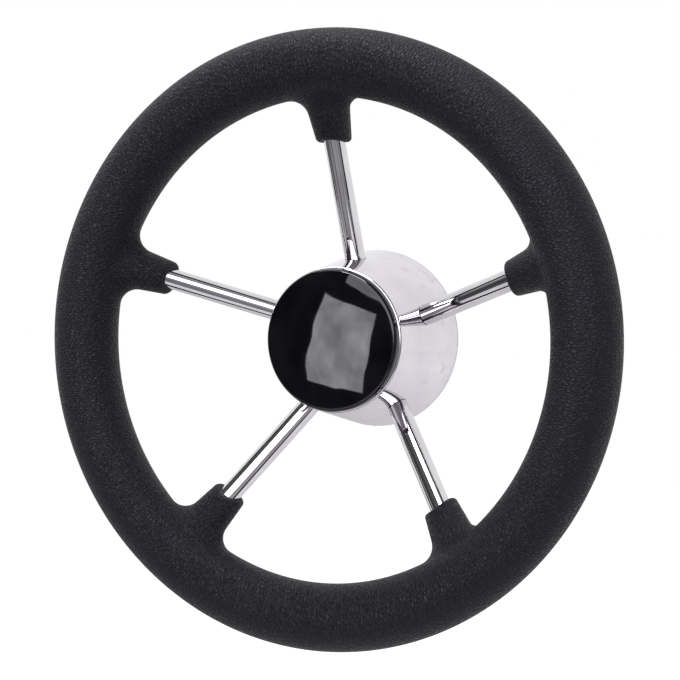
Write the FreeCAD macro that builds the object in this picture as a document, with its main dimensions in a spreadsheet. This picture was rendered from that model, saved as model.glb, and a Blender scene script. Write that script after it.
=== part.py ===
"""Five-spoke stainless boat steering wheel with a foam grip and a snap-in centre cap.

The wheel turns about the Y axis and its front faces -Y. The origin is the centre of the boss's
rear face, where the helm shaft enters the taper bore. Lengths are millimetres, angles degrees.
"""
import FreeCAD, Part
import math
import os
import re
import Sketcher

SIZES = {
    # Rim: a steel ring inside a moulded foam grip; rim_join is where a section's arcs meet.
    "wheel_diameter": 343.0,
    "grip_radius": 18.7,
    "rim_join": 80.0,
    "ring_tube_radius": 7.94,
    "ring_wall": 1.5,
    # Spokes: straight rods that lean forward from the boss to the ring.
    "spoke_count": 5,
    "spoke_radius": 6.0,
    "spoke_lean": 23.75,
    "spoke_foot": 15.5,
    # Boots: the sleeves that the grip's moulding sends down each spoke.
    "boot_start": 10.0,
    "boot_length": 42.9,
    "boot_end_radius": 9.6,
    "boot_taper": 6.5,
    "boot_end_dip": 1.4,
    "boot_end_rounding": 2.5,
    "boot_root_rounding": 10.5,
    # Boss: the turned centre with the shaft's taper bore and keyway.
    "boss_radius": 19.0,
    "boss_length": 34.0,
    "boss_chamfer": 1.5,
    "bore_radius": 9.525,
    "bore_taper": 12.0,
    "key_width": 4.76,
    "key_depth": 2.4,
    "weld_leg": 2.5,
    # Hub shell: a pressed cone with a collar for the cap and a turned-in rear edge.
    "shell_front_radius": 41.1,
    "shell_rear_radius": 52.5,
    "shell_length": 59.8,
    "shell_overhang": 4.0,
    "shell_wall": 1.2,
    "shell_bend": 0.6,
    "shell_rear_lip": 3.4,
    "collar_lip": 4.2,
    "collar_depth": 5.6,
    "spoke_hole_gap": 0.35,
    # Centre cap: a domed moulding held by an o-ring in the shell's collar.
    "cap_inset": 0.8,
    "cap_side": 4.6,
    "cap_crown": 5.3,
    "cap_rounding": 3.0,
    "cap_wall": 2.2,
    "skirt_gap": 0.4,
    "skirt_wall": 3.2,
    "skirt_length": 9.0,
    "o_ring_thickness": 1.8,
    "o_ring_inset": 3.6,
    "o_ring_groove_play": 0.6,
    # Shaft fasteners on the boss's front face.
    "flat_washer_radius": 16.65,
    "flat_washer_bore": 8.75,
    "flat_washer_thickness": 2.4,
    "lock_washer_radius": 13.6,
    "lock_washer_bore": 8.2,
    "lock_washer_thickness": 4.0,
    "lock_washer_slit": 2.0,
    "lock_washer_slant": 1.6,
    "nut_across_flats": 23.8,
    "nut_height": 13.9,
    "nut_bore": 7.2,
    "nut_chamfer": 1.0,
}

FORMULAS = {
    "ring_radius": "wheel_diameter / 2 - grip_radius",
    "rim_setback": "spoke_foot + (ring_radius - boss_radius) * tan(spoke_lean)",
    "boot_end_arc": "(boot_end_radius^2 + boot_end_dip^2) / (2 * boot_end_dip)",
    "boot_end_reach": "ring_radius - boot_length",
    "boot_end_drop": "boot_length / cos(spoke_lean)",
    "boot_start_radius": "boot_end_radius + (boot_end_drop - boot_start) * tan(boot_taper)",
    "boot_tip_radius": "boot_end_radius - boot_end_radius * tan(boot_taper)",
    "bore_front_radius": "bore_radius - boss_length / (2 * bore_taper)",
    "shell_front": "shell_overhang - shell_length",
    "collar_radius": "shell_front_radius - collar_lip",
    "cap_radius": "shell_front_radius - cap_inset",
    "shell_slope": "(shell_rear_radius - shell_front_radius) / shell_length",
    "shell_skew": "shell_wall * sqrt(1 + shell_slope^2)",
    "cap_edge": "shell_front - cap_side",
    "cap_front": "cap_edge - cap_crown",
    "cap_arc": "(cap_radius^2 + cap_crown^2) / (2 * cap_crown)",
    "skirt_radius": "collar_radius - skirt_gap",
    "skirt_bore": "skirt_radius - skirt_wall",
    "crown_drop": "cap_crown * (skirt_bore / cap_radius)^2",
    "crown_arc": "(skirt_bore^2 + crown_drop^2) / (2 * crown_drop)",
    "o_ring_radius": "collar_radius - o_ring_thickness / 2",
    "o_ring_place": "shell_front + o_ring_inset",
    "o_ring_seat": "collar_radius - o_ring_thickness",
    "groove_half": "(o_ring_thickness + o_ring_groove_play) / 2",
    "flat_washer_front": "-boss_length - flat_washer_thickness",
    "lock_washer_front": "flat_washer_front - lock_washer_thickness",
    "nut_front": "lock_washer_front - nut_height",
    "nut_corner": "nut_across_flats / sqrt(3)",
}

NAMES = re.compile(r"\b(" + "|".join(sorted({**SIZES, **FORMULAS}, key=len, reverse=True)) + r")\b")


def written_out(text):
    """Expression text with every formula replaced by the sheet's own cells."""
    def swap(match):
        name = match.group(1)
        if name in FORMULAS:
            return "(" + written_out(FORMULAS[name]) + ")"
        return "sizes." + name
    return NAMES.sub(swap, text)


def value(text):
    """Present value of an expression."""
    gauge.setExpression("reading", written_out(text))
    gauge.recompute()
    return gauge.reading


def bind(item, target, text):
    """Ties a property or a constraint of an object to the sizes."""
    item.setExpression(target, written_out(text))


def make_sheet():
    """The driving dimensions, one cell each."""
    table = doc.addObject("Spreadsheet::Sheet", "sizes")
    for row, (name, number) in enumerate(SIZES.items(), start=1):
        table.set(f"A{row}", name)
        table.set(f"B{row}", str(number))
        table.setAlias(f"B{row}", name)
    doc.recompute()


def make_gauge():
    """A bare object whose one property reads an expression's present value."""
    item = doc.addObject("App::FeaturePython", "gauge")
    item.addProperty("App::PropertyFloat", "reading", "gauge", "Present value of an expression")
    return item


def new_body(label):
    """An empty body whose label names its file."""
    body = doc.addObject("PartDesign::Body", label)
    body.Label = label
    return body


def origin_feature(body, role):
    """One of the body's own origin planes or axes."""
    return next(item for item in body.Origin.OriginFeatures if item.Role == role)


def new_sketch(body, name, plane):
    """An empty sketch on one of the body's origin planes."""
    sketch = body.newObject("Sketcher::SketchObject", name)
    sketch.AttachmentSupport = [(origin_feature(body, plane), "")]
    sketch.MapMode = "FlatFace"
    return sketch


def pin_point(sketch, edge, end, across, along):
    """Holds one end of an edge at two distances from the sketch's origin."""
    for kind, text in (("DistanceX", across), ("DistanceY", along)):
        index = sketch.addConstraint(Sketcher.Constraint(kind, -1, 1, edge, end, value(text)))
        bind(sketch, f"Constraints[{index}]", text)


def arc_between(start, stop, radius, side):
    """Arc of a given radius between two points, its centre left (+1) or right (-1) of travel."""
    chord = stop - start
    middle = (start + stop) / 2
    rise = math.sqrt(max(radius**2 - (chord.Length / 2) ** 2, 0.0))
    across = FreeCAD.Vector(-chord.y, chord.x, 0) / chord.Length
    centre = middle + across * rise * side
    first, last = (start, stop) if side > 0 else (stop, start)
    angles = [math.atan2(point.y - centre.y, point.x - centre.x) for point in (first, last)]
    circle = Part.Circle(centre, FreeCAD.Vector(0, 0, 1), radius)
    return Part.ArcOfCircle(circle, angles[0], angles[1])


def draw_outline(sketch, corners, arcs=None):
    """Closed outline through corners given as expressions; arcs maps a side to radius and turn."""
    arcs = arcs or {}
    points = [FreeCAD.Vector(value(across), value(along), 0) for across, along in corners]
    count = len(points)
    ends = []
    for side, start in enumerate(points):
        stop = points[(side + 1) % count]
        if side in arcs:
            radius, turn = arcs[side]
            sketch.addGeometry(arc_between(start, stop, value(radius), turn), False)
            index = sketch.addConstraint(Sketcher.Constraint("Radius", side, value(radius)))
            bind(sketch, f"Constraints[{index}]", radius)
            ends.append((1, 2) if turn > 0 else (2, 1))
        else:
            sketch.addGeometry(Part.LineSegment(start, stop), False)
            ends.append((1, 2))
    for side in range(count):
        following = (side + 1) % count
        joint = Sketcher.Constraint("Coincident", side, ends[side][1], following, ends[following][0])
        sketch.addConstraint(joint)
    for side, (across, along) in enumerate(corners):
        pin_point(sketch, side, ends[side][0], across, along)


def draw_circle(sketch, across, along, radius):
    """Circle whose centre and radius are expressions."""
    centre = FreeCAD.Vector(value(across), value(along), 0)
    circle = Part.Circle(centre, FreeCAD.Vector(0, 0, 1), value(radius))
    index = sketch.addGeometry(circle, False)
    pin_point(sketch, index, 3, across, along)
    size = sketch.addConstraint(Sketcher.Constraint("Radius", index, value(radius)))
    bind(sketch, f"Constraints[{size}]", radius)


def turn_profile(body, name, sketch, axis, kind="Revolution", angle="360", both_ways=False):
    """Turn of a sketch about one of its axes, adding or, as a Groove, cutting."""
    feature = body.newObject("PartDesign::" + kind, name)
    feature.Profile = sketch
    feature.ReferenceAxis = (sketch, [axis])
    feature.Midplane = both_ways
    bind(feature, "Angle", angle)
    sketch.Visibility = False
    doc.recompute()
    return feature


def pattern_round(body, name, originals=None):
    """Copies at every spoke of some features or, with none named, of the whole body."""
    pattern = body.newObject("PartDesign::PolarPattern", name)
    if originals:
        pattern.Originals = originals
    else:
        pattern.TransformMode = "Whole shape"
        pattern.Refine = False
    pattern.Axis = (origin_feature(body, "Y_Axis"), [""])
    pattern.Angle = 360
    bind(pattern, "Occurrences", "spoke_count")
    body.Tip = pattern
    doc.recompute()
    return pattern


def surface_kind(face):
    """Plain name of a face's surface, such as Cone or Toroid."""
    return face.Surface.TypeId.replace("Part::Geom", "")


def edges_between(shape, kinds):
    """Names of the edges whose two faces have the given kinds of surface."""
    names = []
    for index, edge in enumerate(shape.Edges, start=1):
        faces = shape.ancestorsOfType(edge, Part.Face)
        if sorted(surface_kind(face) for face in faces) == sorted(kinds):
            names.append(f"Edge{index}")
    return names


def edges_round(shape, corners):
    """Names of the full circles about the Y axis that pass through (place, radius) corners."""
    names = []
    for index, edge in enumerate(shape.Edges, start=1):
        if edge.Degenerated or not isinstance(edge.Curve, Part.Circle):
            continue
        found = (edge.Curve.Center.y, edge.Curve.Radius)
        if any(math.dist(found, corner) < 1e-3 for corner in corners):
            names.append(f"Edge{index}")
    return names


def round_edges(body, name, names, radius):
    """Fillet on the named edges of the body's last feature."""
    base = body.Tip
    fillet = body.newObject("PartDesign::Fillet", name)
    fillet.Base = (base, names)
    bind(fillet, "Radius", radius)
    body.Tip = fillet
    doc.recompute()
    return fillet


def draw_on_spoke(sketch, profile, arcs=None):
    """Outline given as (distance from the ring's centre along the spoke, distance from its axis)."""
    corners = []
    for along, off in profile:
        place = f"-rim_setback + ({along}) * sin(spoke_lean) + ({off}) * cos(spoke_lean)"
        height = f"ring_radius - ({along}) * cos(spoke_lean) + ({off}) * sin(spoke_lean)"
        corners.append((place, height))
    draw_outline(sketch, corners, arcs)
    return corners


def draw_sleeve(sketch, start, stop, start_radius, stop_radius):
    """Section of a round sleeve on the spoke's axis, with that axis as the sketch's Axis0."""
    profile = [(start, "0"), (stop, "0"), (stop, stop_radius), (start, start_radius)]
    corners = draw_on_spoke(sketch, profile)
    first, second = (FreeCAD.Vector(value(a), value(b), 0) for a, b in corners[:2])
    axis = sketch.addGeometry(Part.LineSegment(first, second), True)
    for end, (across, along) in zip((1, 2), corners[:2]):
        pin_point(sketch, axis, end, across, along)


def draw_rim_round(sketch, radius):
    """Circle about the ring's centre as three arcs, with no join where the boot is."""
    across, up = f"{radius} * cos(rim_join)", f"{radius} * sin(rim_join)"
    profile = [(across, up), ("-" + radius, "0"), (across, "-" + up)]
    draw_on_spoke(sketch, profile, {side: (radius, 1) for side in range(3)})


def make_grip():
    """Foam grip: half of one spoke's share of the rim, mirrored and repeated round the wheel."""
    body = new_body("grip")
    rim = new_sketch(body, "grip_section", "YZ_Plane")
    draw_rim_round(rim, "grip_radius")
    turn_profile(body, "grip_share", rim, "H_Axis", angle="180 / spoke_count")
    sleeve = new_sketch(body, "boot_section", "YZ_Plane")
    draw_sleeve(sleeve, "boot_start", "boot_end_drop + boot_end_radius",
                "boot_start_radius", "boot_tip_radius")
    turn_profile(body, "boot_cone", sleeve, "Axis0", angle="180")
    trim = new_sketch(body, "boot_end_arc", "XZ_Plane")
    draw_circle(trim, "0", "boot_end_reach + boot_end_dip - boot_end_arc", "boot_end_arc")
    cut = body.newObject("PartDesign::Pocket", "boot_end")
    cut.Profile = trim
    cut.Type = "ThroughAll"
    cut.Midplane = True
    doc.recompute()
    round_edges(body, "boot_root", edges_between(body.Tip.Shape, ["Cone", "Toroid"]), "boot_root_rounding")
    round_edges(body, "boot_edge", edges_between(body.Tip.Shape, ["Cone", "Cylinder"]), "boot_end_rounding")
    core = new_sketch(body, "ring_channel_section", "YZ_Plane")
    draw_rim_round(core, "ring_tube_radius")
    turn_profile(body, "ring_channel", core, "H_Axis", "Groove", "540 / spoke_count", True)
    channel = new_sketch(body, "spoke_channel_section", "YZ_Plane")
    draw_sleeve(channel, "0", "boot_end_drop + 2 * boot_end_radius", "spoke_radius", "spoke_radius")
    turn_profile(body, "spoke_channel", channel, "Axis0", "Groove", "180")
    mirror = body.newObject("PartDesign::Mirrored", "other_half")
    mirror.TransformMode = "Whole shape"
    mirror.Refine = False
    mirror.MirrorPlane = (origin_feature(body, "YZ_Plane"), [""])
    body.Tip = mirror
    doc.recompute()
    pattern_round(body, "shares")
    return body


def make_ring():
    """Steel ring: one round tube bent to a circle and closed."""
    body = new_body("rim_ring")
    tube = new_sketch(body, "tube_section", "XY_Plane")
    draw_circle(tube, "ring_radius", "-rim_setback", "ring_tube_radius")
    draw_circle(tube, "ring_radius", "-rim_setback", "ring_tube_radius - ring_wall")
    turn_profile(body, "tube_ring", tube, "V_Axis")
    return body


def along_y(place):
    """Placement that stands a primitive's own Z axis on +Y, starting at a place on the Y axis."""
    turn = FreeCAD.Rotation(FreeCAD.Vector(0, 0, 1), FreeCAD.Vector(0, 1, 0))
    return FreeCAD.Placement(FreeCAD.Vector(0, place, 0), turn)


def make_primitive(kind, name, placement, **sizes):
    """Primitive solid with its sizes tied to the sheet."""
    item = doc.addObject("Part::" + kind, name)
    for target, text in sizes.items():
        bind(item, target, text)
    item.Placement = placement
    return item


def make_boolean(kind, name, base, tool, placement=None):
    """Boolean of two objects, named as a node where it is one."""
    item = doc.addObject("Part::" + kind, name)
    item.Label = name
    if kind == "MultiFuse":
        item.Shapes = [base, tool]
    else:
        item.Base = base
        item.Tool = tool
    if placement:
        item.Placement = placement
    return item


def spoke_turns():
    """One placement for each spoke, turned about the wheel's axis."""
    count = round(value("spoke_count"))
    axis = FreeCAD.Vector(0, 1, 0)
    turns = [FreeCAD.Rotation(axis, 360 * index / count) for index in range(count)]
    return [FreeCAD.Placement(FreeCAD.Vector(), turn) for turn in turns]


def make_spokes():
    """Rods coped to the boss and the ring, and the weld round each rod's foot on the boss."""
    lean = math.radians(value("spoke_lean"))
    heading = FreeCAD.Vector(0, math.sin(lean), -math.cos(lean))
    start = FreeCAD.Vector(0, -value("rim_setback"), value("ring_radius"))
    stand = FreeCAD.Placement(start, FreeCAD.Rotation(FreeCAD.Vector(0, 0, 1), heading))
    reach = "(ring_radius - boss_radius / 2) / cos(spoke_lean)"
    stock = make_primitive("Cylinder", "spoke_stock", stand, Radius="spoke_radius", Height=reach)
    boss = make_primitive("Cylinder", "boss_envelope", along_y(-value("boss_length")),
                          Radius="boss_radius", Height="boss_length")
    ring = make_primitive("Torus", "ring_envelope", along_y(-value("rim_setback")),
                          Radius1="ring_radius", Radius2="ring_tube_radius")
    ends = make_boolean("MultiFuse", "spoke_ends", boss, ring)
    joined = make_boolean("MultiFuse", "spoke_on_boss", boss, stock)
    doc.recompute()
    foot = edges_between(joined.Shape, ["Cylinder", "Cylinder"])
    leg = value("weld_leg")
    flare = doc.addObject("Part::Fillet", "weld_flare")
    flare.Base = joined
    flare.Edges = [(int(name[4:]), leg, leg) for name in foot]
    doc.recompute()
    spokes = []
    welds = []
    for index, turn in enumerate(spoke_turns(), start=1):
        spokes.append(make_boolean("Cut", f"spoke_{index}", stock, ends, turn))
        welds.append(make_boolean("Cut", f"hub_weld_{index}", flare, joined, turn))
    return spokes + welds


def make_boss():
    """Turned boss with a taper bore for the helm shaft and a keyway that follows the taper."""
    body = new_body("hub_boss")
    section = new_sketch(body, "boss_section", "YZ_Plane")
    draw_outline(section, [
        ("0", "bore_radius"),
        ("0", "boss_radius - boss_chamfer"),
        ("-boss_chamfer", "boss_radius"),
        ("-boss_length + boss_chamfer", "boss_radius"),
        ("-boss_length", "boss_radius - boss_chamfer"),
        ("-boss_length", "bore_front_radius"),
    ])
    turn_profile(body, "boss_turning", section, "H_Axis")
    slot = new_sketch(body, "keyway_section", "YZ_Plane")
    draw_outline(slot, [
        ("0", "0"),
        ("0", "bore_radius + key_depth"),
        ("-boss_length", "bore_front_radius + key_depth"),
        ("-boss_length", "0"),
    ])
    keyway = body.newObject("PartDesign::Pocket", "keyway")
    keyway.Profile = slot
    keyway.Midplane = True
    bind(keyway, "Length", "key_width")
    body.Tip = keyway
    doc.recompute()
    return body


def make_shell():
    """Pressed hub cover: cap collar, flat lip, cone with five spoke holes, turned-in rear edge."""
    body = new_body("hub_shell")
    section = new_sketch(body, "shell_section", "YZ_Plane")
    collar_end = "shell_front + collar_depth"
    draw_outline(section, [
        (collar_end, "collar_radius"),
        ("shell_front", "collar_radius"),
        ("shell_front", "shell_front_radius"),
        ("shell_overhang", "shell_rear_radius"),
        ("shell_overhang", "shell_rear_radius - shell_rear_lip"),
        ("shell_overhang - shell_wall", "shell_rear_radius - shell_rear_lip"),
        ("shell_overhang - shell_wall", "shell_rear_radius - shell_wall * shell_slope - shell_skew"),
        ("shell_front + shell_wall", "shell_front_radius + shell_wall * shell_slope - shell_skew"),
        ("shell_front + shell_wall", "collar_radius + shell_wall"),
        (collar_end, "collar_radius + shell_wall"),
    ])
    turn_profile(body, "shell_pressing", section, "H_Axis")
    outer = [("shell_front", "collar_radius"), ("shell_front", "shell_front_radius"),
             ("shell_overhang", "shell_rear_radius")]
    inner = [("shell_overhang - shell_wall", "shell_rear_radius - shell_wall * shell_slope - shell_skew"),
             ("shell_front + shell_wall", "shell_front_radius + shell_wall * shell_slope - shell_skew"),
             ("shell_front + shell_wall", "collar_radius + shell_wall")]
    for name, corners, radius in (("outer_bends", outer, "shell_bend + shell_wall"),
                                  ("inner_bends", inner, "shell_bend")):
        places = [(value(place), value(height)) for place, height in corners]
        round_edges(body, name, edges_round(body.Tip.Shape, places), radius)
    hole = new_sketch(body, "spoke_hole_section", "YZ_Plane")
    clear = "spoke_radius + spoke_hole_gap"
    near = "(ring_radius - shell_rear_radius - spoke_radius) / cos(spoke_lean)"
    far = "(ring_radius - shell_front_radius + 2 * spoke_radius) / cos(spoke_lean)"
    draw_sleeve(hole, near, far, clear, clear)
    groove = turn_profile(body, "spoke_hole", hole, "Axis0", "Groove")
    pattern_round(body, "spoke_holes", [groove])
    return body


def make_cap():
    """Hollow domed cap: a rounded disc on the shell's lip and a grooved skirt in its collar."""
    body = new_body("centre_cap")
    section = new_sketch(body, "cap_section", "YZ_Plane")
    skirt_end = "shell_front + skirt_length"
    draw_outline(section, [
        ("shell_front", "skirt_radius"),
        ("shell_front", "cap_radius"),
        ("cap_edge", "cap_radius"),
        ("cap_front", "0"),
        ("cap_front + cap_wall", "0"),
        ("cap_front + cap_wall + crown_drop", "skirt_bore"),
        (skirt_end, "skirt_bore"),
        (skirt_end, "skirt_radius"),
        ("o_ring_place + groove_half", "skirt_radius"),
        ("o_ring_place + groove_half", "o_ring_seat"),
        ("o_ring_place - groove_half", "o_ring_seat"),
        ("o_ring_place - groove_half", "skirt_radius"),
    ], {2: ("cap_arc", 1), 4: ("crown_arc", -1)})
    turn_profile(body, "cap_moulding", section, "H_Axis")
    rim = [(value("cap_edge"), value("cap_radius"))]
    round_edges(body, "cap_edge_rounding", edges_round(body.Tip.Shape, rim), "cap_rounding")
    return body


def make_o_ring():
    """Rubber ring between the cap's groove and the collar."""
    body = new_body("cap_o_ring")
    section = new_sketch(body, "o_ring_section", "XY_Plane")
    draw_circle(section, "o_ring_radius", "o_ring_place", "o_ring_thickness / 2")
    turn_profile(body, "o_ring_torus", section, "V_Axis")
    return body


def turned_ring(label, back, front, bore, radius):
    """Plain washer between two places on the axis."""
    body = new_body(label)
    section = new_sketch(body, label + "_section", "YZ_Plane")
    draw_outline(section, [(back, bore), (back, radius), (front, radius), (front, bore)])
    turn_profile(body, label + "_turning", section, "H_Axis")
    return body


def make_lock_washer():
    """Split spring washer: a square-edged ring with one slanted slit at the bottom."""
    body = turned_ring("lock_washer", "flat_washer_front", "lock_washer_front",
                       "lock_washer_bore", "lock_washer_radius")
    slit = new_sketch(body, "slit_section", "XY_Plane")
    draw_outline(slit, [
        ("-lock_washer_slant / 2 - lock_washer_slit / 2", "flat_washer_front"),
        ("-lock_washer_slant / 2 + lock_washer_slit / 2", "flat_washer_front"),
        ("lock_washer_slant / 2 + lock_washer_slit / 2", "lock_washer_front"),
        ("lock_washer_slant / 2 - lock_washer_slit / 2", "lock_washer_front"),
    ])
    cut = body.newObject("PartDesign::Pocket", "slit")
    cut.Profile = slit
    bind(cut, "Length", "lock_washer_radius + lock_washer_slit")
    body.Tip = cut
    doc.recompute()
    return body


def make_nut():
    """Hexagon nut with chamfered corners and a plain bore at the thread's minor size."""
    blank = new_body("nut_blank")
    section = new_sketch(blank, "nut_section", "YZ_Plane")
    draw_outline(section, [
        ("lock_washer_front", "nut_bore"),
        ("lock_washer_front", "nut_across_flats / 2"),
        ("lock_washer_front - nut_chamfer", "nut_corner"),
        ("nut_front + nut_chamfer", "nut_corner"),
        ("nut_front", "nut_across_flats / 2"),
        ("nut_front", "nut_bore"),
    ])
    turn_profile(blank, "nut_turning", section, "H_Axis")
    prism = make_primitive("Prism", "nut_hexagon", along_y(value("nut_front")),
                           Circumradius="nut_corner", Height="nut_height")
    prism.Polygon = 6
    nut = make_boolean("Common", "shaft_nut", blank, prism)
    doc.recompute()
    return nut


def check_and_write(nodes):
    """Stops on any failed object or bad solid, then writes one file for each node."""
    doc.recompute()
    for item in doc.Objects:
        if "Invalid" in item.State or "Error" in item.State:
            raise RuntimeError(f"{item.Label} failed: {item.State}")
    os.makedirs("parts", exist_ok=True)
    for node in nodes:
        if node.Shape.isNull() or not node.Shape.isValid():
            raise RuntimeError(f"{node.Label} has no valid shape")
    for node in nodes:
        node.Shape.exportStep(os.path.join("parts", node.Label + ".step"))
        print(f"{node.Label}: {len(node.Shape.Solids)} solid, {node.Shape.Volume:.1f} mm3")


doc = FreeCAD.newDocument("steering_wheel")
make_sheet()
gauge = make_gauge()
flat_washer = ("flat_washer", "-boss_length", "flat_washer_front", "flat_washer_bore", "flat_washer_radius")
wheel = [make_grip(), make_ring(), *make_spokes(), make_boss(), make_shell(), make_cap(), make_o_ring(),
         turned_ring(*flat_washer), make_lock_washer(), make_nut()]
check_and_write(wheel)
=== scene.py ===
"""Looks of the five-spoke boat steering wheel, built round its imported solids.

The wheel turns about Y and faces -Y. Spoke 1 points up along +Z. Lengths are metres and angles
radians, unless a comment says otherwise. Outlines of turned pieces are (y, r) points. A range is a
source's start and end, then the values there if they aren't 0 and 1.
"""
import bmesh
import bpy
import math
from mathutils import Matrix, Vector


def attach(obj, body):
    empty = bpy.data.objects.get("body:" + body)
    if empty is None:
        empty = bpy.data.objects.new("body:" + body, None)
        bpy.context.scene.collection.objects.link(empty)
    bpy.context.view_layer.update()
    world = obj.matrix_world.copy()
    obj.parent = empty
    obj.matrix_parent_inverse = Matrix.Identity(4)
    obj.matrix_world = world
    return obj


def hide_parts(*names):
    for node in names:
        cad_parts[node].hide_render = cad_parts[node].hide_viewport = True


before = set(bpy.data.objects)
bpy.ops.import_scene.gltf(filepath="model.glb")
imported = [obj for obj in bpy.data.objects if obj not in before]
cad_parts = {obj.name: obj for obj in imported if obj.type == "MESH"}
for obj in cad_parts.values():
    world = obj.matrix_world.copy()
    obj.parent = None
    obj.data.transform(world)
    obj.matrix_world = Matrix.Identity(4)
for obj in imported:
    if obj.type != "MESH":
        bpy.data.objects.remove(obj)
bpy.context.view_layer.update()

MM = 0.001
X, Y, Z = Vector((1, 0, 0)), Vector((0, 1, 0)), Vector((0, 0, 1))

# Rim and spokes. A rod runs from SPOKE_TOP off the ring's centre line to SPOKE_SUNK inside the boss.
WHEEL_RADIUS = 171.5 * MM
GRIP_RADIUS = 18.7 * MM
RING_RADIUS = WHEEL_RADIUS - GRIP_RADIUS
BOSS_RADIUS = 19 * MM
SPOKE_COUNT = 5
SPOKE_RADIUS = 6.0 * MM
SPOKE_LEAN = math.radians(23.75)
SPOKE_FOOT_Y = -15.5 * MM
SPOKE_SUNK = 1 * MM
SPOKE_TOP = 6 * MM
RIM_Y = SPOKE_FOOT_Y - (RING_RADIUS - BOSS_RADIUS) * math.tan(SPOKE_LEAN)
RIM_MIDDLE = Vector((0, RIM_Y, 0))

# Axis of spoke 1 from the ring to the boss, and two directions across it.
SPOKE_START = Vector((0, RIM_Y, RING_RADIUS))
AXIS = Vector((0, math.sin(SPOKE_LEAN), -math.cos(SPOKE_LEAN)))
SIDE = X
OVER = AXIS.cross(SIDE)

# Boots: the grip's sleeves over the spokes. Their hollow end is an arc about a line along Y.
BOOT_LENGTH = 42.9 * MM
BOOT_END_RADIUS = 9.6 * MM
BOOT_TAPER = math.radians(6.5)
BOOT_END_DIP = 1.4 * MM
BOOT_END_ROUNDING = 2.5 * MM
BOOT_ROOT_ROUNDING = 10.5 * MM
BOOT_END_ARC = (BOOT_END_RADIUS**2 + BOOT_END_DIP**2) / (2 * BOOT_END_DIP)
BOOT_END_DROP = BOOT_LENGTH / math.cos(SPOKE_LEAN)
BOOT_END_LINE = RING_RADIUS - BOOT_LENGTH + BOOT_END_DIP - BOOT_END_ARC
BOOT_END_SEARCH = (BOOT_END_DROP * 0.5, BOOT_END_DROP * 1.5)
BOOT_BORE = SPOKE_RADIUS + 0.05 * MM
BOOT_SOCKET = 8 * MM
BOOT_SOCKET_SHARES = (0.02, 0.2, 1)

# Hub cover.
SHELL_FRONT = -55.8 * MM
SHELL_REAR = 4 * MM
SHELL_FRONT_RADIUS = 41.1 * MM
SHELL_REAR_RADIUS = 52.5 * MM
SHELL_WALL = 1.2 * MM
SHELL_BEND = 0.6 * MM
SHELL_LIP = 3.4 * MM
SHELL_SLOPE = (SHELL_REAR_RADIUS - SHELL_FRONT_RADIUS) / (SHELL_REAR - SHELL_FRONT)
COLLAR_RADIUS = 36.9 * MM
COLLAR_DEPTH = 5.6 * MM
SPOKE_HOLE_RADIUS = 6.35 * MM
SPOKE_HOLE_SEARCH = (90 * MM, 140 * MM)

# Centre cap.
CAP_RADIUS = 40.3 * MM
CAP_SIDE = 4.6 * MM
CAP_CROWN = 5.3 * MM
CAP_ROUNDING = 3 * MM
CAP_WALL = 2.2 * MM
CAP_BEVEL = 0.25 * MM
CAP_HOLLOW_RISE = 3.6 * MM
SKIRT_RADIUS = 36.5 * MM
SKIRT_BORE = 33.3 * MM
SKIRT_LENGTH = 9 * MM

# Mesh counts, steps and limits. A port is half the columns and half the rows of a spoke's opening.
GRIP_COLUMNS = 480
GRIP_ROWS = 96
GRIP_PORT = (18, 17)
GRIP_PORT_RINGS = 6
ROOT_STEPS = 10
SLEEVE_STEPS = 12
END_STEPS = 8
SHELL_COLUMNS = 240
SHELL_ROW_STEP = 1.0 * MM
SHELL_PORT = (9, 12)
SHELL_PORT_RINGS = 5
BEND_STEP = math.radians(9)
DOME_STEPS = 60
DOME_EDGE_STEPS = 16
DOME_COLUMNS = 256
ROD_COLUMNS = 96
ROD_STEPS = 24
SMOOTH_BELOW = math.radians(35)
SHELL_SMOOTH_BELOW = math.radians(30)
MERGE_DISTANCE = 0.001 * MM
SOLVE_STEPS = 48

# Colours. A pair is the two ends of a mix.
ROD_COLOR = (0.69, 0.685, 0.70)
COVER_COLOR = (0.72, 0.70, 0.74)
PLAIN_COLOR = (0.6, 0.6, 0.6)
HAZE_TINT = (0.91, 0.895, 0.905)
SPECK_COLOR = (0.50, 0.43, 0.36, 1)
# Dark colour of the painted shade line along the cover's rear edge.
EDGE_SHADE_COLOR = (0.28, 0.26, 0.25, 1)
# Foam: the colour of its creases, darkened as painted shade, then the colour of its ridges.
FOAM_COLORS_CREASE_SHADED = (0.0016, 0.0014, 0.0022, 1), (0.0058, 0.0054, 0.0078, 1)
FOAM_GLOSS_TINT = (0.92, 0.895, 1, 1)
CAP_COLORS = (0.0009, 0.0008, 0.0016, 1), (0.0016, 0.0015, 0.0026, 1)
FLOOR_COLOR = (0.5, 0.5, 0.5, 1)
LAMP_COLOR = (0.96, 0.94, 1)
ROOM_COLORS = (1, 0.97, 0.985, 1), (0.96, 0.95, 1.06, 1)
WHITE = (1, 1, 1, 1)

# Steel. Haze scales its colour and roughness.
HAZE_SCALE = 38
HAZE_RANGE = (0.36, 0.66)
HAZE_ROUGHNESS = (0.7, 1.4)
POLISH_DEPTH = 0.02 * MM
POLISH_STRENGTH = 0.02

# The cover's specks thin out forward of its rear edge, where a dark line of painted shade runs.
SPECK_SCALE = 140
SPECK_RANGE = (0.57, 0.72, 0.0, 0.5)
SPECK_NEARNESS = (-32.8 * MM, 2.1 * MM, 0.15, 1.0)
# The painted shade line along the rear edge fades in over the first range and out over the second.
EDGE_SHADE_START = (1.2 * MM, 2.1 * MM, 0.0, 0.8)
EDGE_SHADE_END = (3.0 * MM, 3.6 * MM, 1.0, 0.0)

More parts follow.
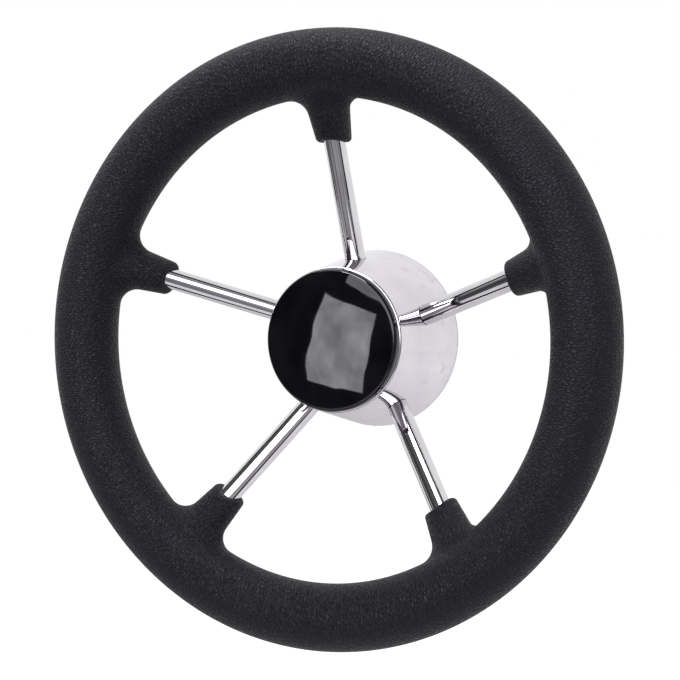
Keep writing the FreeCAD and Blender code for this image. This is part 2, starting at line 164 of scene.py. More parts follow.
# Foam. The grain's cells are drawn out round the rim's section, as offsets from the ring shrink, and the
# creases between them are darkened with painted shade.
FOAM_IOR = 1.36
FOAM_ROUGHNESS = (0.60, 0.42)
GRAIN_SHRINK = 0.42
GRAIN_SCALE = 720
GRAIN_DEPTH = 0.52 * MM
GRAIN_CREASE = 0.32
GRAIN_WARP = 1.6 * MM
GRAIN_WARP_SCALE = 420

# Cap gloss.
CAP_IOR = 1.54
CAP_ROUGHNESS = (0.02, 0.06)
DUST_SCALE = 60
RIPPLE_SCALE = 45
RIPPLE_DEPTH = 0.25 * MM

# Camera, fitted to the photograph's rim and spokes. Focal length in pixels, sensor in millimetres.
PICTURE_WIDTH = 680
CAMERA_AZIMUTH = math.radians(26.127)
CAMERA_ELEVATION = math.radians(1.090)
CAMERA_ROLL = math.radians(-0.471)
CAMERA_DISTANCE = 0.92105
CAMERA_FOCAL = 1671.03
CAMERA_PAN = math.radians(0.719)
CAMERA_TIP = math.radians(0.024)
WHEEL_SPIN = math.radians(0.887)
SENSOR_WIDTH = 36
CLIP_START = 0.01
CLIP_END = 50

# Soft boxes: azimuth, elevation, half width, half height and tilt in degrees, then radiance.
LAMPS = {
    "window": (-19.7, -3.3, 14.7, 18.8, -14, 4.3),
    "front_box": (20, 24.5, 33, 16, -31, 3.0),
    "top_box": (-5, 62, 13, 9, 0, 10),
    "left_box": (-85, 65, 22, 15, 0, 3.2),
}
LAMP_DISTANCE = 1.6
LAMP_CLOUD_SCALE = 2.6
LAMP_CLOUD_RANGE = (0.3, 0.7, 0.6, 1.4)

# Room: each part's range along a direction, and the radiance at the range's two ends.
ROOM_BACK_DIRECTION = (-0.1, 1, 0)
ROOM_BACK = (-0.30, 0.20, 0.0, 1.0)
ROOM_BACK_LEVEL = 0.75
ROOM_OVERHEAD = (0.72, 0.92, 0.0, 0.65)
ROOM_SIDE = (0.04, 0.30, 0.08, 0.3)
ROOM_BELOW = (-0.65, -0.45, 0.28, 0.08)

# Patches scale the room's dim parts, and its tint changes towards the front.
ROOM_PATCH_SCALE = 3
ROOM_PATCHES = (0.3, 0.7, 0.4, 1.6)
ROOM_FRONT = (-0.95, -0.45, 1.0, 0.0)

# Floor: outline in (x, y), glow to the camera, and mirrored glow, which grows along a direction.
FLOOR_HEIGHT = -0.75
FLOOR_OUTLINE = [(-0.36, -0.83), (0.9, -0.83), (1.5, -0.15), (3, 0), (3, 6), (-3, 6), (-3, -0.3)]
FLOOR_ROUGHNESS = 0.9
FLOOR_GLOW = 0.8
FLOOR_GLOW_DIRECTION = (1, 0.5, 0)
FLOOR_MIRRORED_GLOW = (-0.4, 1.8, 0.18, 0.64)


class Net:
    """Vertices and faces of one mesh, gathered ring by ring."""

    def __init__(self):
        self.points = []
        self.faces = []

    def ring(self, points):
        """Adds points and returns their indices."""
        start = len(self.points)
        self.points.extend(points)
        return list(range(start, len(self.points)))

    def bridge(self, first, second):
        """Quads between two closed rings of the same length."""
        count = len(first)
        for k in range(count):
            following = (k + 1) % count
            self.faces.append((first[k], first[following], second[following], second[k]))

    def extend(self, ring, points):
        """Bridges a closed ring to new points, and returns their ring."""
        following = self.ring(points)
        self.bridge(ring, following)
        return following

    def cone(self, ring, tip):
        """Triangles from a closed ring to a vertex."""
        for k, start in enumerate(ring):
            self.faces.append((start, ring[(k + 1) % len(ring)], tip))

    def fan(self, ring, centre):
        """Triangles from a closed ring to a new point."""
        self.cone(ring, self.ring([centre])[0])

    def grid(self, rings, port_rows, port):
        """Quads of a grid that is closed both ways, open at each spoke's port on the port rows."""
        half_columns, half_rows = port
        columns = len(rings[0])
        pitch = columns // SPOKE_COUNT
        for row, ring in enumerate(rings):
            above = rings[(row + 1) % len(rings)]
            crossed = any(middle - half_rows <= row < middle + half_rows for middle in port_rows)
            for u in range(columns):
                from_spoke = (u + pitch // 2) % pitch - pitch // 2
                if crossed and -half_columns <= from_spoke < half_columns:
                    continue
                beside = (u + 1) % columns
                self.faces.append((ring[u], ring[beside], above[beside], above[u]))

    def build(self, name, smooth_below=SMOOTH_BELOW):
        """Mesh object on the root body, smooth but for edges sharper than an angle."""
        mesh = bpy.data.meshes.new(name)
        mesh.from_pydata([tuple(point) for point in self.points], [], self.faces)
        mesh.validate()
        tidy = bmesh.new()
        tidy.from_mesh(mesh)
        bmesh.ops.remove_doubles(tidy, verts=tidy.verts, dist=MERGE_DISTANCE)
        bmesh.ops.recalc_face_normals(tidy, faces=tidy.faces)
        tidy.to_mesh(mesh)
        tidy.free()
        mesh.shade_smooth()
        mesh.set_sharp_from_angle(angle=smooth_below)
        item = bpy.data.objects.new(name, mesh)
        bpy.context.scene.collection.objects.link(item)
        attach(item, "root")
        return item


def solve(function, low, high):
    """Root of a function that changes sign between two values."""
    sign = function(low) > 0
    for _ in range(SOLVE_STEPS):
        middle = (low + high) / 2
        if (function(middle) > 0) == sign:
            low = middle
        else:
            high = middle
    return (low + high) / 2


def arc(centre, radius, first, last, steps):
    """Points of an arc about a centre, at steps from 0 to 1 between two unit directions."""
    total = first.angle(last)
    points = []
    for share in steps:
        bend = (first * math.sin((1 - share) * total) + last * math.sin(share * total)) / math.sin(total)
        points.append(centre + bend * radius)
    return points


def shares(count, first=0):
    """Equal steps from 0 to 1, from the first that is wanted."""
    return [step / count for step in range(first, count + 1)]


def to_spoke(point, spoke):
    """A point at spoke 1 turned to another spoke, counted from 0."""
    return Matrix.Rotation(math.tau * spoke / SPOKE_COUNT, 3, "Y") @ point


def across(angle):
    """Unit direction off spoke 1's axis, at an angle about it."""
    return SIDE * math.cos(angle) + OVER * math.sin(angle)


def spoke_point(along, angle, off):
    """Point at a distance along spoke 1 from the ring, and off its axis at an angle."""
    return SPOKE_START + AXIS * along + across(angle) * off


def ring_gap(point):
    """Vector from the ring's centre line to a point."""
    flat = Vector((point.x, 0, point.z))
    return point - (flat.normalized() * RING_RADIUS + RIM_MIDDLE)


def boot_normal(angle):
    """Outward normal of the boot's cone."""
    return across(angle) * math.cos(BOOT_TAPER) + AXIS * math.sin(BOOT_TAPER)


def boot_point(along, angle, outside):
    """Point at a distance outside the boot's cone."""
    radius = BOOT_END_RADIUS + (BOOT_END_DROP - along) * math.tan(BOOT_TAPER)
    return spoke_point(along, angle, radius) + boot_normal(angle) * outside


def end_gap(point):
    """Distance of a point from the boot's hollow end face."""
    return math.hypot(point.x, point.z - BOOT_END_LINE) - BOOT_END_ARC


def root_ball(angle):
    """Centre of the ball that rounds the boot's root."""
    reach = GRIP_RADIUS + BOOT_ROOT_ROUNDING

    def gap(along):
        return ring_gap(boot_point(along, angle, BOOT_ROOT_ROUNDING)).length - reach

    return boot_point(solve(gap, 0, BOOT_END_DROP), angle, BOOT_ROOT_ROUNDING)


def end_ball(angle):
    """Centre of the ball that rounds the boot's end."""
    def gap(along):
        return end_gap(boot_point(along, angle, -BOOT_END_ROUNDING)) - BOOT_END_ROUNDING

    return boot_point(solve(gap, *BOOT_END_SEARCH), angle, -BOOT_END_ROUNDING)


def boot_profile(angle):
    """Points from the grip's skin down the boot, round its end and into the socket."""
    root, end = root_ball(angle), end_ball(angle)
    normal = boot_normal(angle)
    inward = (Vector((0, end.y, BOOT_END_LINE)) - end).normalized()
    top = root - normal * BOOT_ROOT_ROUNDING
    bottom = end + normal * BOOT_END_ROUNDING
    face = end + inward * BOOT_END_ROUNDING
    skin = -ring_gap(root).normalized()
    points = arc(root, BOOT_ROOT_ROUNDING, skin, -normal, shares(ROOT_STEPS, 1)[:-1])
    points += [top.lerp(bottom, share) for share in shares(SLEEVE_STEPS)]
    points += arc(end, BOOT_END_ROUNDING, normal, inward, shares(END_STEPS, 1)[:-1])

    def mouth_gap(along):
        return end_gap(spoke_point(along, angle, BOOT_BORE))

    mouth_along = solve(mouth_gap, *BOOT_END_SEARCH)
    mouth = spoke_point(mouth_along, angle, BOOT_BORE)
    x = (face.x + mouth.x) / 2
    between = Vector((x, (face.y + mouth.y) / 2, BOOT_END_LINE + math.sqrt(BOOT_END_ARC**2 - x**2)))
    points += [face, between, mouth]
    for share in BOOT_SOCKET_SHARES:
        points.append(spoke_point(mouth_along - BOOT_SOCKET * share, angle, BOOT_BORE))
    return points


def port_walk(half_columns, half_rows):
    """Steps of a port's edge in columns and rows, anticlockwise from its lower left corner."""
    walk = [(u, -half_rows) for u in range(-half_columns, half_columns)]
    walk += [(half_columns, v) for v in range(-half_rows, half_rows)]
    walk += [(u, half_rows) for u in range(half_columns, -half_columns, -1)]
    walk += [(-half_columns, v) for v in range(half_rows, -half_rows, -1)]
    return walk


def port_loop(rings, row, spoke, walk):
    """Vertices of a port's edge in a grid."""
    columns = len(rings[0])
    middle = spoke * (columns // SPOKE_COUNT)
    return [rings[row + v][(middle + u) % columns] for u, v in walk]


def grip_point(u, v):
    """Point of the grip's torus; u is in turns about Y, v an angle about the ring."""
    around = Matrix.Rotation(math.tau * u, 3, "Y") @ Z
    return around * (RING_RADIUS + GRIP_RADIUS * math.cos(v)) + Y * (RIM_Y + GRIP_RADIUS * math.sin(v))


def boot_foot(angle):
    """Place (u, v) on the torus where the rounding of the boot's root starts."""
    ball = root_ball(angle)
    contact = ball - ring_gap(ball).normalized() * BOOT_ROOT_ROUNDING
    v = math.atan2(contact.y - RIM_Y, math.hypot(contact.x, contact.z) - RING_RADIUS)
    return math.atan2(contact.x, contact.z) / math.tau, v % math.tau


def make_grip():
    """Foam grip: the torus and its five boots as one skin."""
    net = Net()
    port_row = GRIP_ROWS // 2
    to_boss = math.pi - SPOKE_LEAN
    rows = [to_boss + math.tau * (v - port_row) / GRIP_ROWS for v in range(GRIP_ROWS)]
    rings = [net.ring([grip_point(u / GRIP_COLUMNS, v) for u in range(GRIP_COLUMNS)]) for v in rows]
    net.grid(rings, [port_row], GRIP_PORT)
    walk = port_walk(*GRIP_PORT)
    wide = (RING_RADIUS - GRIP_RADIUS) * math.tau / GRIP_COLUMNS
    high = GRIP_RADIUS * math.tau / GRIP_ROWS
    angles = [math.atan2(v * high, u * wide) for u, v in walk]
    edge = [(u / GRIP_COLUMNS, rows[port_row + v]) for u, v in walk]
    feet = [boot_foot(angle) for angle in angles]
    profiles = [boot_profile(angle) for angle in angles]
    for spoke in range(SPOKE_COUNT):
        loop = port_loop(rings, port_row, spoke, walk)
        for share in shares(GRIP_PORT_RINGS, 1):
            places = [(u + (foot_u - u) * share + spoke / SPOKE_COUNT, v + (foot_v - v) * share)
                      for (u, v), (foot_u, foot_v) in zip(edge, feet)]
            loop = net.extend(loop, [grip_point(u, v) for u, v in places])
        for points in zip(*profiles):
            loop = net.extend(loop, [to_spoke(point, spoke) for point in points])
        net.fan(loop, sum((net.points[k] for k in loop), Vector()) / len(loop))
    item = net.build("grip_skin")
    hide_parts("grip")
    return item


def turned_point(u, y, r):
    """Point at a share of a turn about Y from +Z."""
    return Vector((r * math.sin(math.tau * u), y, r * math.cos(math.tau * u)))


def rounded(corners):
    """Points of a closed outline of (y, r, rounding) corners."""
    points = []
    for k, (y, r, radius) in enumerate(corners):
        here = Vector((y, r))
        if radius <= 0:
            points.append(here)
            continue
        back = (Vector(corners[k - 1][:2]) - here).normalized()
        onward = (Vector(corners[(k + 1) % len(corners)][:2]) - here).normalized()
        half = back.angle(onward) / 2
        centre = here + (back + onward).normalized() * (radius / math.sin(half))
        first = (here + back * (radius / math.tan(half)) - centre).normalized()
        last = (here + onward * (radius / math.tan(half)) - centre).normalized()
        steps = max(2, math.ceil(first.angle(last) / BEND_STEP))
        points += arc(centre, radius, first, last, shares(steps))
    return points


def shell_outside(y):
    """Radius of the cover's outer cone."""
    return SHELL_FRONT_RADIUS + (y - SHELL_FRONT) * SHELL_SLOPE


def shell_inside(y):
    """Radius of the cover's inner cone."""
    return shell_outside(y) - SHELL_WALL * math.sqrt(1 + SHELL_SLOPE**2)


def shell_outline():
    """Section of the cover's sheet: collar, front, cone and lip, then back along the inside."""
    collar_end = SHELL_FRONT + COLLAR_DEPTH
    front, rear = SHELL_FRONT + SHELL_WALL, SHELL_REAR - SHELL_WALL
    lip = SHELL_REAR_RADIUS - SHELL_LIP
    bend = SHELL_BEND + SHELL_WALL
    return rounded([
        (collar_end, COLLAR_RADIUS, 0),
        (SHELL_FRONT, COLLAR_RADIUS, bend),
        (SHELL_FRONT, SHELL_FRONT_RADIUS, bend),
        (SHELL_REAR, SHELL_REAR_RADIUS, bend),
        (SHELL_REAR, lip, 0),
        (rear, lip, 0),
        (rear, shell_inside(rear), SHELL_BEND),
        (front, shell_inside(front), SHELL_BEND),
        (front, COLLAR_RADIUS + SHELL_WALL, SHELL_BEND),
        (collar_end, COLLAR_RADIUS + SHELL_WALL, 0),
    ])


def hole_point(angle, radius_at):
    """Point where the wall of spoke 1's hole meets a cone."""
    def gap(along):
        point = spoke_point(along, angle, SPOKE_HOLE_RADIUS)
        return math.hypot(point.x, point.z) - radius_at(point.y)

    return spoke_point(solve(gap, *SPOKE_HOLE_SEARCH), angle, SPOKE_HOLE_RADIUS)


def spread(first, last, step):
    """Places from the first to the last, which is left out, about a step apart."""
    count = max(1, round(abs(last - first) / step))
    return [first + (last - first) * n / count for n in range(count)]


def shell_rows():
    """Rows (y, r) round the cover's section, and each cone's port as (middle row, cone, sign).

    The cones are the section's two long sides, and sign is 1 where its rows run rearwards. The rows
    at a hole are a step apart, and the others two.
    """
    outline = shell_outline()
    rows, ports = [], []
    for k, point in enumerate(outline):
        following = outline[(k + 1) % len(outline)]
        if (following - point).length < (SHELL_REAR - SHELL_FRONT) / 2:
            rows.append((point.x, point.y))
            continue
        sign = 1 if following.x > point.x else -1
        radius_at = shell_outside if sign > 0 else shell_inside
        middle = (hole_point(math.pi / 2, radius_at).y + hole_point(-math.pi / 2, radius_at).y) / 2
        half = SHELL_PORT[1]
        near = [middle + sign * v * SHELL_ROW_STEP for v in range(-half, half + 1)]
        lead = spread(point.x, near[0], 2 * SHELL_ROW_STEP)
        tail = spread(near[-1], following.x, 2 * SHELL_ROW_STEP)
        ports.append((len(rows) + len(lead) + half, radius_at, sign))
        rows += [(y, radius_at(y)) for y in lead + near[:-1] + tail]
    return rows, ports


def make_shell():
    """Hub cover: the turned sheet with five spoke holes."""
    net = Net()
    rows, ports = shell_rows()
    rings = []
    for y, r in rows:
        rings.append(net.ring([turned_point(u / SHELL_COLUMNS, y, r) for u in range(SHELL_COLUMNS)]))
    net.grid(rings, [row for row, _, _ in ports], SHELL_PORT)
    for spoke in range(SPOKE_COUNT):
        loops = []
        for row, radius_at, sign in ports:
            column = math.tau / SHELL_COLUMNS * rows[row][1]
            walk = port_walk(*SHELL_PORT)
            angles = [math.atan2(-v * SHELL_ROW_STEP, u * column) for u, v in walk]
            goals = [to_spoke(hole_point(angle, radius_at), spoke) for angle in angles]
            loop = port_loop(rings, row, spoke, [(u, sign * v) for u, v in walk])
            edge = [net.points[k] for k in loop]
            for share in shares(SHELL_PORT_RINGS, 1):
                points = []
                for start, goal in zip(edge, goals):
                    flat = start.lerp(goal, share)
                    scale = radius_at(flat.y) / math.hypot(flat.x, flat.z)
                    points.append(Vector((flat.x * scale, flat.y, flat.z * scale)))
                loop = net.extend(loop, points)
            loops.append(loop)
        net.bridge(*loops)
    item = net.build("hub_cover", SHELL_SMOOTH_BELOW)
    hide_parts("hub_shell")
    return item


def front_arc(y, r, radius, first, last, count):
    """Outline's arc about (y, r) between two angles from the front, -Y."""
    angles = [first + (last - first) * share for share in shares(count)]
    return [Vector((y - radius * math.cos(angle), r + radius * math.sin(angle))) for angle in angles]


def make_turned(name, outline, columns):
    """Solid of revolution about Y from a closed outline."""
    net = Net()
    rings = []
    for y, r in outline:
        if r == 0:
            rings.append(net.ring([Vector((0, y, 0))]))
        else:
            rings.append(net.ring([turned_point(u / columns, y, r) for u in range(columns)]))
    for k, ring in enumerate(rings):
        following = rings[(k + 1) % len(rings)]
        if len(ring) > 1 and len(following) > 1:
            net.bridge(ring, following)
        elif len(ring) > 1:
            net.cone(ring, following[0])
        elif len(following) > 1:
            net.cone(following, ring[0])
    return net.build(name)


def make_cap():
    """Centre cap: a turned dome with a rounded edge and its skirt."""
    front = SHELL_FRONT - CAP_SIDE - CAP_CROWN
    dome = (CAP_RADIUS**2 + CAP_CROWN**2) / (2 * CAP_CROWN)
    dome_y = front + dome
    edge_r = CAP_RADIUS - CAP_ROUNDING
    edge_y = dome_y - math.sqrt((dome - CAP_ROUNDING) ** 2 - edge_r**2)
    tilt = math.atan2(edge_r, dome_y - edge_y)
    skirt_end = SHELL_FRONT + SKIRT_LENGTH
    inner = front + CAP_WALL
    points = front_arc(dome_y, 0, dome, 0, tilt, DOME_STEPS)
    points += front_arc(edge_y, edge_r, CAP_ROUNDING, tilt, math.pi / 2, DOME_EDGE_STEPS)[1:]
    points += [
        (SHELL_FRONT - CAP_BEVEL, CAP_RADIUS),
        (SHELL_FRONT, CAP_RADIUS - CAP_BEVEL),
        (SHELL_FRONT, SKIRT_RADIUS),
        (skirt_end, SKIRT_RADIUS),
        (skirt_end, SKIRT_BORE),
        (inner + CAP_HOLLOW_RISE, SKIRT_BORE),
        (inner, 0),
    ]
    item = make_turned("cap_dome", points, DOME_COLUMNS)
    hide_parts("centre_cap")
    return item


def make_spoke(index):
    """Polished rod from inside the grip to the boss."""
    net = Net()
    reach = (RING_RADIUS - BOSS_RADIUS + SPOKE_SUNK) / math.cos(SPOKE_LEAN)
    rings = []
    for share in shares(ROD_STEPS):
        along = SPOKE_TOP + (reach - SPOKE_TOP) * share
        points = [spoke_point(along, math.tau * k / ROD_COLUMNS, SPOKE_RADIUS) for k in range(ROD_COLUMNS)]
        rings.append(net.ring([to_spoke(point, index) for point in points]))
    for ring, following in zip(rings, rings[1:]):
        net.bridge(ring, following)
    net.fan(rings[0], to_spoke(spoke_point(SPOKE_TOP, 0, 0), index))
    net.fan(rings[-1], to_spoke(spoke_point(reach, 0, 0), index))
    item = net.build(f"rod_{index + 1}")
    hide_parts(f"spoke_{index + 1}")
    return item


class Tree:
    """Node tree of a material, lamp or world. A source is another node's output, or a value."""

    def __init__(self, tree):
        self.nodes = tree.nodes
        self.links = tree.links

    def feed(self, socket, source):
        """Links a source to a socket, or sets the socket to it."""
        if isinstance(source, bpy.types.NodeSocket):
            self.links.new(source, socket)
        else:
            socket.default_value = source

    def set(self, node, sources):
        """Feeds a node's sockets, named or numbered."""
        for name, source in sources.items():
            self.feed(node.inputs[name], source)

    def add(self, kind, sources=None, **settings):
        """New node of a kind with its settings and sources."""
        node = self.nodes.new("ShaderNode" + kind)
        for name, value in settings.items():
            setattr(node, name, value)
        self.set(node, sources or {})
        return node

    def place(self):
        """Point of the surface in the object's own metres."""
        return self.add("TexCoord").outputs["Object"]

    def noise(self, place, scale, detail, output="Fac"):
        """Soft noise at a place."""
        node = self.add("TexNoise", {"Scale": scale, "Detail": detail, "Vector": place})
        return node.outputs[output]

    def ramp(self, source, start, end, low=0.0, high=1.0, smooth=True):
        """Low up to a source's start and high from its end, eased or straight between them."""
        ends = {"From Min": start, "From Max": end, "To Min": low, "To Max": high}
        shape = "SMOOTHSTEP" if smooth else "LINEAR"
        return self.add("MapRange", {"Value": source, **ends}, interpolation_type=shape).outputs["Result"]

    def combine(self, kind, first, second):
        """Two numbers made one."""
        return self.add("Math", {0: first, 1: second}, operation=kind).outputs["Value"]

    def vector(self, kind, *sources):
        """Vectors made one."""
        return self.add("VectorMath", dict(enumerate(sources)), operation=kind).outputs["Vector"]

    def along(self, place, direction):
        """How far a place lies along a direction."""
        return self.add("VectorMath", {0: place, 1: direction}, operation="DOT_PRODUCT").outputs["Value"]

    def mix(self, share, first, second):
        """Colour at a share of the way from the first to the second."""
        node = self.add("Mix", {"Factor": share, "A": first, "B": second}, data_type="RGBA")
        return node.outputs["Result"]

    def bump(self, height, depth, strength=1):
        """Normal of a surface with a relief."""
        sources = {"Height": height, "Distance": depth, "Strength": strength}
        return self.add("Bump", sources).outputs["Normal"]

    def rays(self, *names):
        """1 for the named kinds of ray, else 0."""
        path = self.add("LightPath")
        total = path.outputs[names[0]]
        for name in names[1:]:
            total = self.combine("MAXIMUM", total, path.outputs[name])
        return total


def new_material(name):
    """Node material, its tree and its shader."""
    material = bpy.data.materials.new(name)
    material.use_nodes = True
    tree = Tree(material.node_tree)
    return material, tree, tree.nodes["Principled BSDF"]


def specks_and_edge_shade(tree, place, color):
    """A colour with the cover's brown specks, and a dark line of painted shade along its rear edge."""
    y = tree.add("SeparateXYZ", {"Vector": place}).outputs["Y"]
    specks = tree.ramp(tree.noise(place, SPECK_SCALE, detail=4), *SPECK_RANGE)
    near = tree.ramp(y, *SPECK_NEARNESS)
    # Painted shade: a dark line along the cover's rear edge.
    line = tree.combine("MULTIPLY", tree.ramp(y, *EDGE_SHADE_START), tree.ramp(y, *EDGE_SHADE_END))
    color = tree.mix(tree.combine("MULTIPLY", near, specks), color, SPECK_COLOR)
    return tree.mix(line, color, EDGE_SHADE_COLOR)


def steel(name, color, rough, grain, specked_and_edge_shaded=False):
    """Polished stainless steel with faint handling haze and fine polishing lines."""
    material, tree, shader = new_material(name)
    place = tree.place()
    haze = tree.noise(place, HAZE_SCALE, detail=4)
    hazed = [channel * tint for channel, tint in zip(color, HAZE_TINT)]
    surface = tree.mix(tree.ramp(haze, *HAZE_RANGE), (*color, 1), (*hazed, 1))
    # The cover also gets brown specks and a dark line of painted shade along its rear edge.
    if specked_and_edge_shaded:
        surface = specks_and_edge_shade(tree, place, surface)
    smoothest, roughest = (rough * share for share in HAZE_ROUGHNESS)
    tree.set(shader, {
        "Metallic": 1,
        "Base Color": surface,
        "Roughness": tree.ramp(haze, 0, 1, smoothest, roughest, smooth=False),
        "Normal": tree.bump(tree.noise(place, grain, detail=2), POLISH_DEPTH, POLISH_STRENGTH),
    })
    return material


def foam():
    """Black integral-skin foam with a fine leather grain, its creases darkened with painted shade."""
    material, tree, shader = new_material("foam_skin")
    place = tree.place()
    core = RING_RADIUS * (1 - GRAIN_SHRINK)
    away = tree.vector("NORMALIZE", tree.vector("MULTIPLY", place, (1, 0, 1)))
    ring = tree.vector("MULTIPLY_ADD", away, (core, 0, core), (0, RIM_Y * (1 - GRAIN_SHRINK), 0))
    spot = tree.vector("MULTIPLY_ADD", place, (GRAIN_SHRINK,) * 3, ring)
    warp = tree.noise(spot, GRAIN_WARP_SCALE, detail=2, output="Color")
    warped = tree.vector("MULTIPLY_ADD", warp, (GRAIN_WARP,) * 3, spot)
    cells = tree.add("TexVoronoi", {"Scale": GRAIN_SCALE, "Vector": warped}, feature="DISTANCE_TO_EDGE")
    ridge = tree.ramp(cells.outputs["Distance"], 0, GRAIN_CREASE)
    tree.set(shader, {
        "IOR": FOAM_IOR,
        "Specular Tint": FOAM_GLOSS_TINT,
        # The base colour darkens the grain's creases: painted shade.
        "Base Color": tree.mix(ridge, *FOAM_COLORS_CREASE_SHADED),
        "Roughness": tree.ramp(ridge, 0, 1, *FOAM_ROUGHNESS, smooth=False),
        "Normal": tree.bump(ridge, GRAIN_DEPTH),
    })
    return material


def cap_gloss():
    """High-gloss black plastic with faint dust and a slow moulding ripple."""
    material, tree, shader = new_material("cap_gloss")
    place = tree.place()
    dust = tree.noise(place, DUST_SCALE, detail=5)
    tree.set(shader, {
        "IOR": CAP_IOR,
        "Base Color": tree.mix(dust, *CAP_COLORS),
        "Roughness": tree.ramp(dust, 0, 1, *CAP_ROUGHNESS, smooth=False),
        "Normal": tree.bump(tree.noise(place, RIPPLE_SCALE, detail=1), RIPPLE_DEPTH),
    })
    return material


def dress(item, material):
    """Gives an object one material."""
    item.data.materials.clear()
    item.data.materials.append(material)


def direction(azimuth, elevation):
    """Direction from the wheel; azimuth 0 is in front of it, a quarter turn at its right."""
    level = math.cos(elevation)
    return Vector((math.sin(azimuth) * level, -math.cos(azimuth) * level, math.sin(elevation)))


def make_camera():
    """Camera at the photograph's view, turned back by the spin of the photographed wheel."""
    back = direction(CAMERA_AZIMUTH, CAMERA_ELEVATION)
    ahead = -back
    level = ahead.cross(Z).normalized()
    upright = level.cross(ahead)
    right = level * math.cos(CAMERA_ROLL) + upright * math.sin(CAMERA_ROLL)
    up = upright * math.cos(CAMERA_ROLL) - level * math.sin(CAMERA_ROLL)
    sideways = ahead * math.cos(CAMERA_PAN) + right * math.sin(CAMERA_PAN)
    aim = sideways * math.cos(CAMERA_TIP) + up * math.sin(CAMERA_TIP)
    right = aim.cross(up).normalized()
    up = right.cross(aim)
    turn = Matrix.Rotation(-WHEEL_SPIN, 3, "Y")
    axes = Matrix((turn @ right, turn @ up, turn @ -aim)).transposed()
    data = bpy.data.cameras.new("view")
    data.sensor_width = SENSOR_WIDTH
    data.lens = CAMERA_FOCAL / PICTURE_WIDTH * SENSOR_WIDTH
    data.clip_start = CLIP_START
    data.clip_end = CLIP_END
    camera = bpy.data.objects.new("view", data)
    camera.matrix_world = Matrix.Translation(turn @ (back * CAMERA_DISTANCE) + RIM_MIDDLE) @ axes.to_4x4()
    bpy.context.scene.collection.objects.link(camera)
    bpy.context.scene.camera = camera


def make_lamp(name, azimuth, elevation, wide, high, tilt, radiance):
    """Slightly cloudy soft box, at the place and of the size that LAMPS gives."""
    ahead = direction(math.radians(azimuth), math.radians(elevation))
    side = Matrix.Rotation(math.radians(tilt), 3, ahead) @ Z.cross(ahead).normalized()
    data = bpy.data.lights.new(name, "AREA")
    data.shape = "RECTANGLE"
    data.size = 2 * LAMP_DISTANCE * math.tan(math.radians(wide))
    data.size_y = 2 * LAMP_DISTANCE * math.tan(math.radians(high))
    data.energy = radiance * math.pi * data.size * data.size_y
    data.color = LAMP_COLOR
    data.use_nodes = True
    tree = Tree(data.node_tree)
    clouds = tree.noise(tree.add("NewGeometry").outputs["Parametric"], LAMP_CLOUD_SCALE, detail=3)
    tree.set(tree.nodes["Emission"], {"Strength": tree.ramp(clouds, *LAMP_CLOUD_RANGE, smooth=False)})
    lamp = bpy.data.objects.new(name, data)
    axes = Matrix((side, ahead.cross(side), ahead)).transposed()
    lamp.matrix_world = Matrix.Translation(RIM_MIDDLE + ahead * LAMP_DISTANCE) @ axes.to_4x4()
    bpy.context.scene.collection.objects.link(lamp)


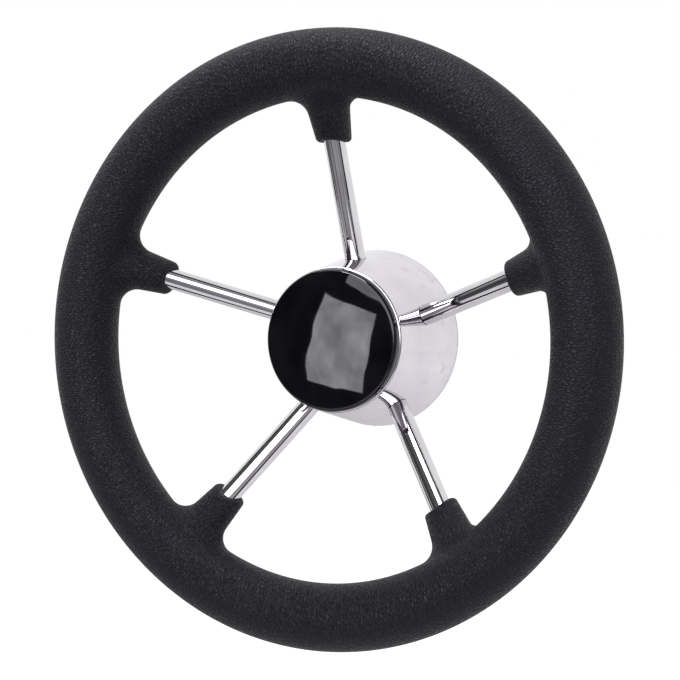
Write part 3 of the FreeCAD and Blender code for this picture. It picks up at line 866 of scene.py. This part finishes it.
def make_world():
    """Studio: white backdrop behind the wheel, a dim room in front of it; the camera sees white."""
    world = bpy.data.worlds.new("surround")
    bpy.context.scene.world = world
    world.use_nodes = True
    tree = Tree(world.node_tree)
    tree.nodes.clear()
    place = tree.add("TexCoord").outputs["Generated"]
    parts = tree.add("SeparateXYZ", {"Vector": place})
    slant = tree.along(place, ROOM_BACK_DIRECTION)
    back = tree.ramp(slant, *ROOM_BACK)
    overhead = tree.ramp(parts.outputs["Z"], *ROOM_OVERHEAD)
    side = tree.ramp(parts.outputs["X"], *ROOM_SIDE)
    below = tree.ramp(parts.outputs["Z"], *ROOM_BELOW)
    patches = tree.ramp(tree.noise(place, ROOM_PATCH_SCALE, detail=2), *ROOM_PATCHES)
    room = tree.combine("MULTIPLY", tree.combine("MAXIMUM", side, below), patches)
    dim = tree.combine("MAXIMUM", room, overhead)
    level = tree.combine("MAXIMUM", tree.combine("MULTIPLY", back, ROOM_BACK_LEVEL), dim)
    tint = tree.mix(tree.ramp(slant, *ROOM_FRONT), *ROOM_COLORS)
    soft = tree.add("Background", {"Color": tint, "Strength": level}).outputs["Background"]
    white = tree.add("Background", {"Color": WHITE}).outputs["Background"]
    mirrored = tree.combine("MULTIPLY", tree.rays("Is Glossy Ray"), back)
    seen = tree.combine("MAXIMUM", tree.rays("Is Camera Ray", "Is Transmission Ray"), mirrored)
    both = tree.add("MixShader", {"Fac": seen, 1: soft, 2: white})
    tree.add("OutputWorld", {"Surface": both.outputs["Shader"]})


def make_floor():
    """Plain white floor far enough below that the wheel's shadow stays soft."""
    mesh = bpy.data.meshes.new("floor")
    corners = [(x, y, FLOOR_HEIGHT) for x, y in FLOOR_OUTLINE]
    mesh.from_pydata(corners, [], [tuple(range(len(corners)))])
    floor = bpy.data.objects.new("floor", mesh)
    bpy.context.scene.collection.objects.link(floor)
    material, tree, shader = new_material("floor_white")
    tree.set(shader, {"Base Color": FLOOR_COLOR, "Roughness": FLOOR_ROUGHNESS})
    seen = tree.combine("MULTIPLY", tree.rays("Is Camera Ray", "Is Transmission Ray"), FLOOR_GLOW)
    fade = tree.ramp(tree.along(tree.place(), FLOOR_GLOW_DIRECTION), *FLOOR_MIRRORED_GLOW, smooth=False)
    mirrored = tree.combine("MULTIPLY", tree.rays("Is Glossy Ray"), fade)
    glow = tree.add("Emission", {"Strength": tree.combine("MAXIMUM", seen, mirrored)})
    both = tree.add("AddShader", {0: shader.outputs["BSDF"], 1: glow.outputs["Emission"]})
    tree.set(tree.nodes["Material Output"], {"Surface": both.outputs["Shader"]})
    dress(floor, material)


rod_steel = steel("rod_steel", ROD_COLOR, rough=0.05, grain=900)
cover_steel = steel("cover_steel", COVER_COLOR, rough=0.06, grain=900, specked_and_edge_shaded=True)
plain_steel = steel("plain_steel", PLAIN_COLOR, rough=0.22, grain=1400)
foam_skin = foam()
cap_black = cap_gloss()

dress(make_grip(), foam_skin)
dress(make_shell(), cover_steel)
dress(make_cap(), cap_black)
for number in range(SPOKE_COUNT):
    dress(make_spoke(number), rod_steel)

# Solids that no finer mesh replaces are dressed as they are.
for node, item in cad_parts.items():
    if item.hide_render:
        continue
    dress(item, cap_black if node == "cap_o_ring" else plain_steel)

make_camera()
make_world()
make_floor()
for name, values in LAMPS.items():
    make_lamp(name, *values)

scene = bpy.context.scene
scene.view_settings.view_transform = "Standard"
